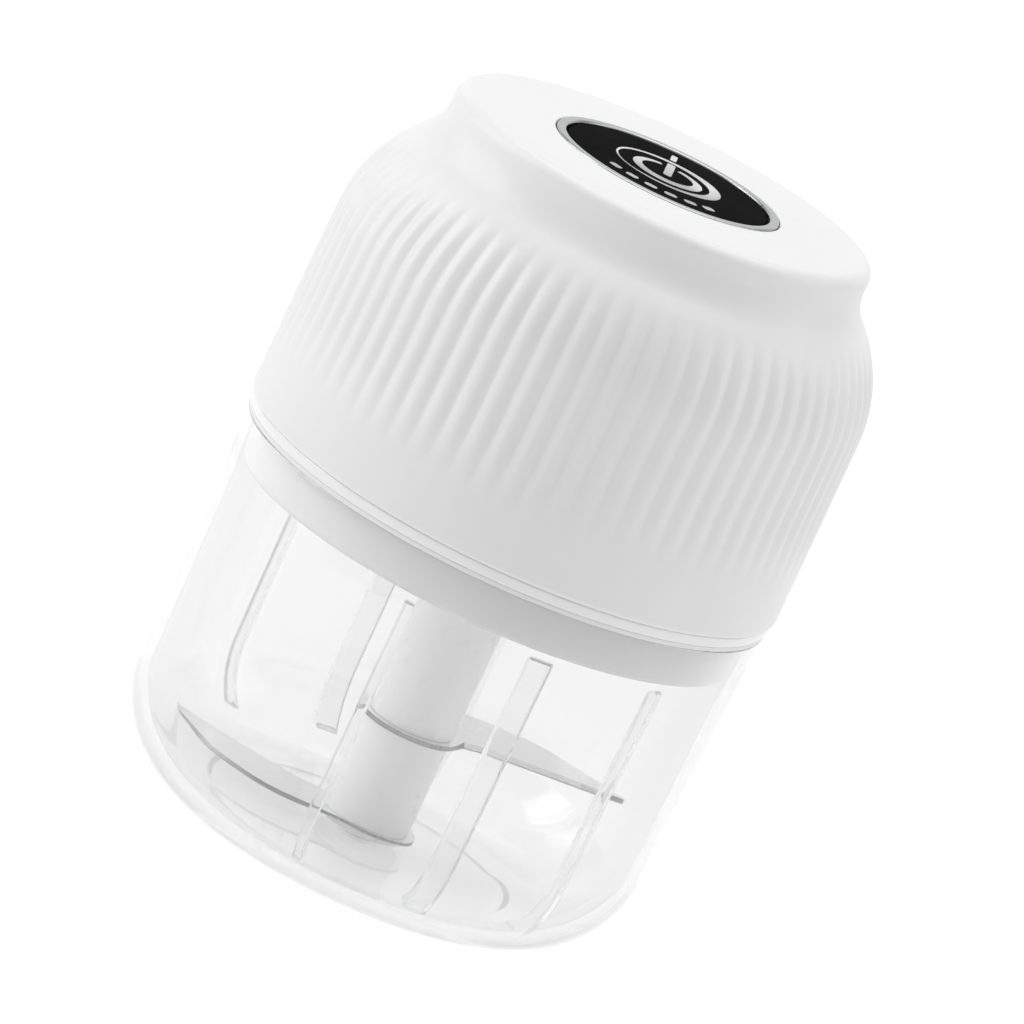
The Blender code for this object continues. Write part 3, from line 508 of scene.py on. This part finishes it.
def lathe(name, profile, steps=ROUND, shape=None):
    """A turned solid from a profile in (radius, height). Ends on the axis are closed to a point,
    and any other profile is a loop. shape(r, z, angle, index) may move a point."""
    bm = bmesh.new()
    rows = []
    for index, (r, z) in enumerate(profile):
        if r < 1e-6:
            rows.append([bm.verts.new((0, 0, z * MM))])
            continue
        row = []
        for i in range(steps):
            angle = 2 * math.pi * i / steps
            pr, pz = shape(r, z, angle, index) if shape else (r, z)
            row.append(bm.verts.new((pr * math.cos(angle) * MM, pr * math.sin(angle) * MM, pz * MM)))
        rows.append(row)
    pairs = list(zip(rows, rows[1:]))
    if len(rows[0]) > 1:
        pairs.append((rows[-1], rows[0]))
    for a, b in pairs:
        for i in range(steps):
            j = (i + 1) % steps
            if len(a) == 1:
                bm.faces.new((a[0], b[i], b[j]))
            elif len(b) == 1:
                bm.faces.new((a[i], a[j], b[0]))
            else:
                bm.faces.new((a[i], a[j], b[j], b[i]))
    return new_object(name, bm)


def baked(obj, smooth=SMOOTH):
    """Replaces an object's mesh by what its modifiers make of it. None leaves the shading alone."""
    bpy.context.view_layer.update()
    graph = bpy.context.evaluated_depsgraph_get()
    mesh = bpy.data.meshes.new_from_object(obj.evaluated_get(graph))
    obj.modifiers.clear()
    obj.data = mesh
    return finish_mesh(obj, smooth) if smooth else obj


def steadied(obj):
    """Lets the large faces set the shading normals, so that a small round beside a wall does not
    bend the light across the whole wall."""
    modifier = obj.modifiers.new("normals", "WEIGHTED_NORMAL")
    modifier.keep_sharp = True
    modifier.weight = 100
    return baked(obj, None)


def boolean(target, other, operation, smooth=SMOOTH):
    modifier = target.modifiers.new(operation, "BOOLEAN")
    modifier.operation = operation
    modifier.object = other
    baked(target, smooth)
    bpy.data.objects.remove(other, do_unlink=True)
    return target


def bevelled(obj, width, segments, angle):
    modifier = obj.modifiers.new("bevel", "BEVEL")
    modifier.width = width * MM
    modifier.segments = segments
    modifier.limit_method = "ANGLE"
    modifier.angle_limit = math.radians(angle)
    return baked(obj)


def prism(name, outline, low, high):
    """A closed outline in (x, z) pushed from low to high along Y."""
    bm = bmesh.new()
    front, back = ([bm.verts.new((x * MM, y * MM, z * MM)) for x, z in outline] for y in (low, high))
    bm.faces.new(front)
    bm.faces.new(back)
    for i in range(len(outline)):
        j = (i + 1) % len(outline)
        bm.faces.new((front[i], front[j], back[j], back[i]))
    return new_object(name, bm)


def rods(name, centres, low, high, radius, steps=32):
    """Upright cylinders, as one object."""
    bm = bmesh.new()
    for x, y in centres:
        made = bmesh.ops.create_cone(bm, cap_ends=True, segments=steps, depth=(high - low) * MM,
                                     radius1=radius * MM, radius2=radius * MM)["verts"]
        bmesh.ops.translate(bm, vec=Vector((x, y, (low + high) / 2)) * MM, verts=made)
    return new_object(name, bm)


def rounded_rectangle(half_x, half_z, radius, centre=(0.0, 0.0)):
    points = []
    for sx, sz, start in ((1, 1, 0), (-1, 1, 90), (-1, -1, 180), (1, -1, 270)):
        points += arc(centre[0] + sx * (half_x - radius), centre[1] + sz * (half_z - radius),
                      radius, start, start + 90, 6)
    return points


def piece(obj, body, slot, *nodes, mat=None):
    """Steadies a finished piece's shading, gives it its material and its body, and hides the CAD nodes
    that it stands for.
    """
    steadied(obj)
    obj.data.materials.clear()
    obj.data.materials.append(MATERIALS[mat or slot])
    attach(obj, body)
    if nodes:
        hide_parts(*nodes)
    return obj


# Motor head

def shell_side(inset=0.0):
    """Outer line of the shell from the neck down. A positive inset gives the inner line."""
    shoulder_c = SHOULDER_R - SHOULDER_ARC_R
    fillet_c = NECK_R + NECK_FILLET_R
    reach = SHOULDER_ARC_R + NECK_FILLET_R
    rise = math.sqrt(reach ** 2 - (fillet_c - shoulder_c) ** 2)
    lean = math.degrees(math.atan2(rise, fillet_c - shoulder_c))
    line = arc(fillet_c, SHOULDER_Z + rise, NECK_FILLET_R + inset, 180, 180 + lean, 10)
    line += arc(shoulder_c, SHOULDER_Z, SHOULDER_ARC_R - inset, lean, 0, 18)[1:]
    return line


def fade(z):
    """1 where the valleys between the reeds are at full depth, 0 above and below them."""
    (low0, low1), (high0, high1) = REED_FADE
    share = min((z - low0) / (low1 - low0), (high1 - z) / (high1 - high0), 1.0)
    share = max(share, 0.0)
    return share * share * (3 - 2 * share)


def valley(angle):
    """1 along the narrow valley between two reeds and 0 along the rounded top of a reed."""
    wave = abs(math.sin(REEDS * (angle - REED_TURN) / 2))
    soft = 0.22
    return 1 - (math.sqrt(wave ** 2 + soft ** 2) - soft) / (math.sqrt(1 + soft ** 2) - soft)


def make_shell():
    """The shell with its reeds, the seat for the silver ring and the opening for the charging port."""
    top_round, foot_round, chamfer = 2.0, 0.7, 0.15
    seat_r, ledge_r = RING_R + 0.2, RING_R - 1.2
    seat_z, plate_z = SHELL_TOP - 1.3, SHELL_TOP - TOP_PLATE
    seat = [(seat_r, seat_z), (seat_r, SHELL_TOP - chamfer), (seat_r + chamfer, SHELL_TOP)]
    rim = arc(NECK_R - top_round, SHELL_TOP - top_round, top_round, 90, 0, 10)
    side = shell_side()
    wall = finer([side[-1], (SHELL_R, SHELL_BOTTOM + foot_round)], 1.3)[1:]
    foot = arc(SHELL_R - foot_round, SHELL_BOTTOM + foot_round, foot_round, 0, -90, 5)[1:]
    outer = seat + rim + finer(side, 1.2) + wall + foot
    inner = [(SHELL_R - SHELL_WALL, SHELL_BOTTOM), *shell_side(SHELL_WALL)[::-2],
             (NECK_R - SHELL_WALL, plate_z), (ledge_r, plate_z), (ledge_r, seat_z)]
    profile = outer + inner
    reeded = range(len(seat) + len(rim), len(outer) - len(foot))

    def reed(r, z, angle, index):
        if index not in reeded:
            return r, z
        (r0, z0), (r1, z1) = profile[index - 1], profile[index + 1]
        length = math.hypot(r1 - r0, z1 - z0)
        depth = REED_DEPTH * fade(z) * valley(angle)
        return r - depth * (z0 - z1) / length, z - depth * (r1 - r0) / length

    shell = lathe("housing_shell_fluted", profile, REEDS * 10, reed)
    gap, corner = 0.35, 1.6
    pocket = rounded_rectangle(PORT_HALF_X + gap, PORT_HALF_Z + gap, corner, (0, PORT_Z))
    boolean(shell, prism("pocket", pocket, COVER_LOW.y + 0.7, OUTSIDE_Y), "DIFFERENCE")
    opening = rounded_rectangle(5.2, 2.3, 1.8, (0, PORT_Z))
    boolean(shell, prism("opening", opening, INSIDE_Y, OUTSIDE_Y), "DIFFERENCE")
    piece(shell, "head", "white_plastic", "housing_shell")


def make_port_cover():
    """The soft flap over the charging port, with a plug behind it and a groove for a fingernail."""
    outer_y, grip_y, plug_depth, flap_depth = 46.0, 43.3, 1.4, 1.0
    outline = rounded_rectangle(PORT_HALF_X, PORT_HALF_Z, 1.4, (0, PORT_Z))
    flap = prism("port_cover_soft", outline, COVER_LOW.y + flap_depth, outer_y)
    skin = rods("cover_skin", [(0, 0)], COVER_LOW.z - 1, COVER_HIGH.z + 1, SHELL_R - 0.15, 360)
    boolean(flap, skin, "INTERSECT")
    bevelled(flap, 0.25, 3, 50.0)
    outline = rounded_rectangle(4.4, 1.6, 1.4, (0, PORT_Z))
    plug = prism("cover_plug", outline, COVER_LOW.y, COVER_LOW.y + plug_depth)
    bevelled(plug, 0.2, 2, 50.0)
    boolean(flap, plug, "UNION")
    outline = rounded_rectangle(3.0, 0.45, 0.4, (0, COVER_LOW.z + 0.65))
    boolean(flap, prism("cover_grip", outline, grip_y, outer_y), "DIFFERENCE")
    piece(flap, "port_cover", "seal_rubber", "port_cover")


def make_bezel():
    """The silver ring round the button."""
    inner_r, low, high = BUTTON_R + 0.35, RING_LOW.z, RING_HIGH.z
    inner_round, outer_round = 0.35, 0.3
    profile = [(inner_r, low), (inner_r, high - 0.45),
               *arc(inner_r + inner_round, high - inner_round, inner_round, 180, 90, 5),
               *arc(RING_R - outer_round, high - outer_round, outer_round, 90, 0, 5), (RING_R, low)]
    piece(lathe("button_ring_satin", profile), "head", "silver_trim", "button_ring")


def make_button():
    """The button with its crowned face, the flange that holds it in and the stem to the switch."""
    top, low = BUTTON_HIGH.z, BUTTON_LOW.z
    flange_top = SHELL_TOP - TOP_PLATE - 0.3
    flange_low, stem_r, edge_round = flange_top - 1.0, 2.5, 0.35
    face = [(BUTTON_R * i / 10, top - BUTTON_CROWN * (i / 10) ** 2) for i in range(10)]
    edge = arc(BUTTON_R - edge_round, top - BUTTON_CROWN - edge_round, edge_round, 90, 0, 5)
    profile = [*face, *edge, (BUTTON_R, flange_top), (RING_R, flange_top), (RING_R, flange_low),
               (stem_r, flange_low), (stem_r, low), (0.0, low)]
    piece(lathe("power_button_gloss", profile), "button", "button_gloss", "power_button")


def make_button_spring():
    """The return spring, a steel coil between the head and the button."""
    low, high = (corner.z for corner in node_box("button_spring"))
    wire, coil_r, turns, steps = 0.26, 6.2, 3, 96
    curve = bpy.data.curves.new("button_spring_coil", "CURVE")
    curve.dimensions = "3D"
    curve.bevel_depth = wire * MM
    curve.bevel_resolution = 3
    curve.use_fill_caps = True
    spline = curve.splines.new("POLY")
    spline.points.add(steps)
    for i, point in enumerate(spline.points):
        x, y = polar(coil_r, 360 * turns * i / steps)
        z = low + wire + (high - low - 2 * wire) * i / steps
        point.co = (x * MM, y * MM, z * MM, 1)
    shape = bpy.data.objects.new("coil_shape", curve)
    bpy.context.scene.collection.objects.link(shape)
    spring = bpy.data.objects.new("button_spring_coil", bpy.data.meshes.new_from_object(shape))
    bpy.context.scene.collection.objects.link(spring)
    bpy.data.objects.remove(shape, do_unlink=True)
    finish_mesh(spring, 60.0)
    spring.data.materials.clear()
    spring.data.materials.append(MATERIALS["steel"])
    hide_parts("button_spring")
    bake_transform(spring)


def face_height(x, y):
    """Height of the button's slightly crowned face."""
    return BUTTON_HIGH.z - BUTTON_CROWN * (x * x + y * y) / BUTTON_R ** 2


def mark(name, outline, hole=None):
    """A raised print on the button's face. hole is a second outline with as many points."""
    bm = bmesh.new()

    def row(points, lift):
        return [bm.verts.new((x * MM, y * MM, (face_height(x, y) + lift) * MM)) for x, y in points]

    count = len(outline)
    if hole:
        a, b = row(outline, -PRINT_SUNK), row(outline, PRINT_HEIGHT)
        c, d = row(hole, PRINT_HEIGHT), row(hole, -PRINT_SUNK)
        loops = ((a, b), (b, c), (c, d), (d, a))
    else:
        a, b = row(outline, -PRINT_SUNK), row(outline, PRINT_HEIGHT)
        bm.faces.new(a)
        bm.faces.new(b)
        loops = ((a, b),)
    for first, second in loops:
        for i in range(count):
            j = (i + 1) % count
            bm.faces.new((first[i], first[j], second[j], second[i]))
    obj = new_object(name, bm, 30.0)
    return piece(obj, "button", "silver_trim", mat="printed_mark")


def crescent(centre, radius, hole_centre, hole_radius, start, end):
    """Outline between two circles from start to end, in degrees, that thins towards its ends."""
    outer, inner = [], []
    for points, (cx, cy), r in ((outer, centre, radius), (inner, hole_centre, hole_radius)):
        for i in range(81):
            x, y = polar(r, start + (end - start) * i / 80)
            points.append((cx + x, cy + y))
    return outer + inner[::-1]


def make_marks():
    """A plain power symbol in a ring that is thickest at the right, a small light mark, and a
    curved row of level marks."""
    steps = 120
    ring_outer = [polar(8.7, 360 * i / steps) for i in range(steps)]
    circle = [polar(1.0, 360 * i / steps) for i in range(steps)]
    mark("icon_ring", ring_outer, [(x * 7.60 - 0.75, y * 7.75 - 0.25) for x, y in circle])
    mark("icon_arc", crescent((-0.1, -0.65), 5.75, (-0.15, -0.15), 4.25, 90 + 17, 90 + 343))
    mark("icon_bar", rounded_rectangle(0.68, 4.3, 0.5, (-0.1, 2.5)))
    mark("light_mark", rounded_rectangle(0.5, 2.0, 0.35, (-0.2, 11.7)))
    for i in range(LEVEL_MARKS):
        angle = -90 + (i - (LEVEL_MARKS - 1) / 2) * LEVEL_MARK_STEP
        x, y = polar(LEVEL_MARK_R, angle)
        turned = []
        for a, b in rounded_rectangle(1.05, 0.75, 0.6):
            dx, dy = polar(math.hypot(a, b), math.degrees(math.atan2(b, a)) + angle + 90)
            turned.append((x + dx, y + dy))
        mark(f"level_mark_{i + 1}", turned)


def make_insert():
    """The insert: floor, collar for the output shaft, band that plugs into the cup, flange and posts."""
    low, top = INSERT_LOW.z, SHELL_BOTTOM - 0.02
    flange_r, flange_low = INSERT_HIGH.x + 0.3, SEAL_HIGH.z + 0.02
    floor_top, band_inner = low + 2.2, BAND_R - INSERT_WALL
    bore, collar_in, collar_out, collar_top = 3.4, 5.6, 7.2, floor_top + 3.2
    profile = [
        (bore, low), (bore, floor_top), (collar_in, floor_top), (collar_in, collar_top),
        (collar_out, collar_top), (collar_out, floor_top), (band_inner, floor_top), (band_inner, top),
        *arc(flange_r - 0.3, top - 0.3, 0.3, 90, 0, 4),
        *arc(flange_r - 0.2, flange_low + 0.2, 0.2, 0, -90, 4),
        (BAND_R, flange_low), *arc(BAND_R - 0.9, low + 0.9, 0.9, 0, -90, 6),
        (9.0, low), (8.6, low + 0.35), (7.4, low + 0.35), (7.0, low),
    ]
    insert = lathe("lid_insert_smooth", profile)
    posts = around(POST_RING_R, 3, 30.0)
    boolean(insert, rods("posts", posts, floor_top - 0.6, INSERT_HIGH.z, 3.3), "UNION")
    boolean(insert, rods("holes", posts, low - 1, INSERT_HIGH.z + 1, 1.7), "DIFFERENCE")
    boolean(insert, rods("sinks", posts, low - 1, low + 3.4, 2.9, 40), "DIFFERENCE")
    piece(insert, "head", "insert_plastic", "lid_insert")


def make_seal():
    """The flat seal between the cup's rim and the insert, whose rounded lip shows as a line."""
    low, high, outer_r, edge = CUP_HIGH.z + 0.03, SEAL_HIGH.z, SEAL_HIGH.x + 0.3, 0.15
    inner_r = SEAL_HIGH.x - 1.55
    profile = [(inner_r, low), (inner_r, high), *arc(outer_r - edge, high - edge, edge, 90, 0, 4),
               *arc(outer_r - edge, low + edge, edge, 0, -90, 4)]
    piece(lathe("cup_seal_soft", profile), "head", "seal_rubber", "cup_seal")


# Cup

def cup_side_r(z):
    """Outer radius of the cup's tapered side."""
    share = (z - CUP_CORNER_R) / (CUP_HIGH.z - CUP_CORNER_R)
    return CUP_LOW_R + (CUP_TOP_R - CUP_LOW_R) * share


LEDGE_R = cup_side_r(CUP_LEDGE) - CUP_WALL  # inner radius of the side below the ledge


def make_cup():
    """The clear cup, with its ribs, and a boss in the floor that holds the pin."""
    top, recess_r, recess_h = CUP_HIGH.z, FOOT_RECESS_R, FOOT_RECESS_H
    profile = [(0.0, CUP_FLOOR), (12.0, CUP_FLOOR), (CORNER_CENTRE_R - 4, CUP_FLOOR)]
    profile += arc(CORNER_CENTRE_R, CUP_FLOOR + INNER_CORNER_R, INNER_CORNER_R, -90, 0, 14)
    profile += [
        (LEDGE_R, CUP_LEDGE - 1.5), (CUP_MOUTH_R, CUP_LEDGE + 1.0), (CUP_MOUTH_R, top - 0.5),
        *arc(CUP_MOUTH_R + 0.5, top - 0.5, 0.5, 180, 90, 5),
        *arc(CUP_TOP_R - 0.25, top - 0.25, 0.25, 90, 0, 4),
    ]
    profile += arc(CORNER_CENTRE_R, CUP_CORNER_R, CUP_CORNER_R, 0, -90, 18)
    profile += [
        (recess_r + 0.4, 0.0), (recess_r, 0.15), (recess_r - 0.5, recess_h - 0.1),
        (recess_r - 0.9, recess_h), (0.0, recess_h),
    ]
    cup = lathe("cup_clear", profile)
    places = [(angle + flip, half) for angle, half in CUP_RIBS for flip in (0, 180)]
    for index, (angle, half) in enumerate(places):
        piece(make_rib(f"cup_rib_{index + 1}", angle, half), "cup", "clear_plastic", mat="rib_plastic_painted_lighter")
    boss = rods("boss", [(0, 0)], CUP_FLOOR - 0.8, CUP_FLOOR + 0.8, 3.6, 64)
    bevelled(boss, 0.25, 3, 50.0)
    boolean(cup, boss, "UNION")
    boolean(cup, rods("pin_hole", [(0, 0)], CUP_FLOOR - 1.0, CUP_FLOOR + 3.0, 1.8, 48), "DIFFERENCE")
    piece(cup, "cup", "clear_plastic", "cup")


def make_rib(name, turn, half):
    """An upright rib on the inner wall that follows it round into the bottom corner and ends
    clear of the lower blade."""
    centre_z = CUP_FLOOR + INNER_CORNER_R
    end_z = node_box("lower_blade")[1].z + 0.5
    lines = []
    for radius in (INNER_CORNER_R + 0.02, INNER_CORNER_R - RIB_DEPTH):
        reach = -math.degrees(math.asin((centre_z - end_z) / radius))
        lines.append(arc(CORNER_CENTRE_R, centre_z, radius, 0, reach, 14))
    wall_line, free_line = lines
    low, high = CUP_LEDGE - 1.4, CUP_LEDGE - 0.6
    outline = [(LEDGE_R + 0.02, high), *wall_line, *free_line[::-1],
               (LEDGE_R - RIB_DEPTH, low), (LEDGE_R - 0.4, high)]
    rib = prism(name, outline, -half, half)
    bevelled(rib, 0.3, 3, 60.0)
    rib.data.transform(Matrix.Rotation(math.radians(turn), 4, "Z"))
    return rib


# Blade unit

def smooth_path(points, count):
    """Points read from a smooth curve (Catmull-Rom), count for each stretch."""
    route = [Vector(p) for p in points]
    ends = [2 * route[0] - route[1], *route, 2 * route[-1] - route[-2]]
    made = []
    for a, b, c, d in zip(ends, ends[1:], ends[2:], ends[3:]):
        for i in range(count):
            t = i / count
            made.append(0.5 * (2 * b + (c - a) * t + (2 * a - 5 * b + 4 * c - d) * t * t
                               + (3 * b - a - 3 * c + d) * t ** 3))
    return [*made, route[-1]]


def make_blade(node, turn):
    """A sickle blade in sheet steel, ground to an edge along its convex side."""
    low = node_box(node)[0].z
    belly = [(1.0, 8.0), (5.0, 10.8), (9.0, 13.2), (14.0, 14.1), (20.5, 13.2), (25.5, 11.3), (33.0, 5.0),
             (BLADE_TIP_R, 0.3)]
    cutting = smooth_path([(*p, 0.0) for p in belly], 7)
    root = [polar(BLADE_ROOT_R, a) for a in range(120, 330, 12)]
    back = smooth_path([(9.0, -1.9, 0), (12.5, -0.9, 0), (16.0, -0.4, 0), (BLADE_TIP_R, 0.0, 0)], 6)
    bm = bmesh.new()
    spin = Matrix.Rotation(math.radians(turn), 3, "Z")
    # Each level's height, and how much of the bevel's width it steps in by
    sections = {"low": (0.0, 0.1), "edge": (BLADE_T * 0.3, 0.0), "high": (BLADE_T, 1.0)}
    levels = {level: [] for level in sections}
    line = cutting[::-1]
    tail = [Vector((x, y, 0)) for x, y in root] + back[:-1]
    for index, point in enumerate([*line, *tail]):
        inset = Vector((0, 0, 0))
        if index < len(line):
            before, after = line[max(index - 1, 0)], line[min(index + 1, len(line) - 1)]
            along = (after - before).normalized()
            ends = min(index, len(line) - 1 - index)
            inset = Vector((-along.y, along.x, 0)) * GRIND * min(1.0, ends / GRIND_RUN_OUT)
        elif index >= len(line) + len(root):
            inset = Vector((0, BACK_BEVEL * min(1.0, (BLADE_TIP_R - point.x) / BACK_RUN_OUT), 0))
        for level, (z, shift) in sections.items():
            spot = spin @ (point + inset * shift)
            levels[level].append(bm.verts.new((spot.x * MM, spot.y * MM, (low + z) * MM)))
    bm.faces.new(levels["low"])
    bm.faces.new(levels["high"])
    count = len(levels["low"])
    for a, b in (("low", "edge"), ("edge", "high")):
        for i in range(count):
            j = (i + 1) % count
            bm.faces.new((levels[a][i], levels[a][j], levels[b][j], levels[b][i]))
    blade = new_object(f"{node}_ground", bm, FACET_SMOOTH)
    bore = rods("blade_bore", [(0, 0)], low - 1, low + 2, BLADE_BORE_R, 48)
    boolean(blade, bore, "DIFFERENCE", FACET_SMOOTH)
    piece(blade, "blade_unit", "blade_steel", node)


def make_hub():
    """The three hub pieces that clamp the blades, the top one with the drive's hexagonal socket."""
    radius, bore, edge, gap = UPPER_HUB_HIGH.x, BLADE_BORE_R, 0.15, 0.01
    lower_low, lower_high = node_box("lower_blade")
    upper_low, upper_high = node_box("upper_blade")

    def turned(node, profile):
        return lathe(f"{node}_smooth", profile, 128)

    low, top = upper_high.z + gap, UPPER_HUB_HIGH.z
    web, crown_round = 34.0, 0.7
    cap = turned("hub_upper", [
        (0.0, top), (radius - crown_round, top),
        *arc(radius - crown_round, top - crown_round, crown_round, 90, 0, 6)[1:],
        *arc(radius - edge, low + edge, edge, 0, -90, 4), (bore, low), (bore, web), (0.0, web)])
    boolean(cap, rods("socket", [(0, 0)], web + 4.0, top + 1.0, 4.3, 6), "DIFFERENCE")
    piece(cap, "blade_unit", "hub_plastic", "hub_upper")

    low, top = lower_high.z + gap, upper_low.z - gap
    sleeve = turned("hub_lower", [
        (bore, low), (bore, top), *arc(radius - edge, top - edge, edge, 90, 0, 4),
        *arc(radius - edge, low + edge, edge, 0, -90, 4)])
    piece(sleeve, "blade_unit", "hub_plastic", "hub_lower")

    low, top = FOOT_LOW.z, lower_low.z - gap
    pin_r, core_r, foot_round = 2.3, 4.6, 0.5
    foot = turned("hub_foot", [
        (pin_r, low), (pin_r, FOOT_HIGH.z), (core_r, FOOT_HIGH.z), (core_r, top),
        *arc(radius - edge, top - edge, edge, 90, 0, 3),
        *arc(radius - foot_round, low + foot_round, foot_round, 0, -90, 4)])
    piece(foot, "blade_unit", "hub_plastic", "hub_foot")


def dress_frame():
    """Gives every CAD node the material of its slot in the record."""
    for part in frame["record"]["subparts"]:
        node = frame["nodes"][part["node"]]
        node.data.materials.clear()
        node.data.materials.append(MATERIALS[part["material_slot"]])


bpy.context.scene.view_settings.view_transform = "Standard"
bpy.context.scene.view_settings.look = "None"
MATERIALS = make_materials()
dress_frame()
make_camera()
make_world()
make_floor()
for light_name, (light_place, light_size, watts) in LIGHTS.items():
    softbox(light_name, light_place, light_size, watts)
make_shell()
make_port_cover()
make_bezel()
make_button()
make_button_spring()
make_marks()
make_insert()
make_seal()
make_cup()
for blade_node, blade_turn in BLADE_TURNS.items():
    make_blade(blade_node, blade_turn)
make_hub()
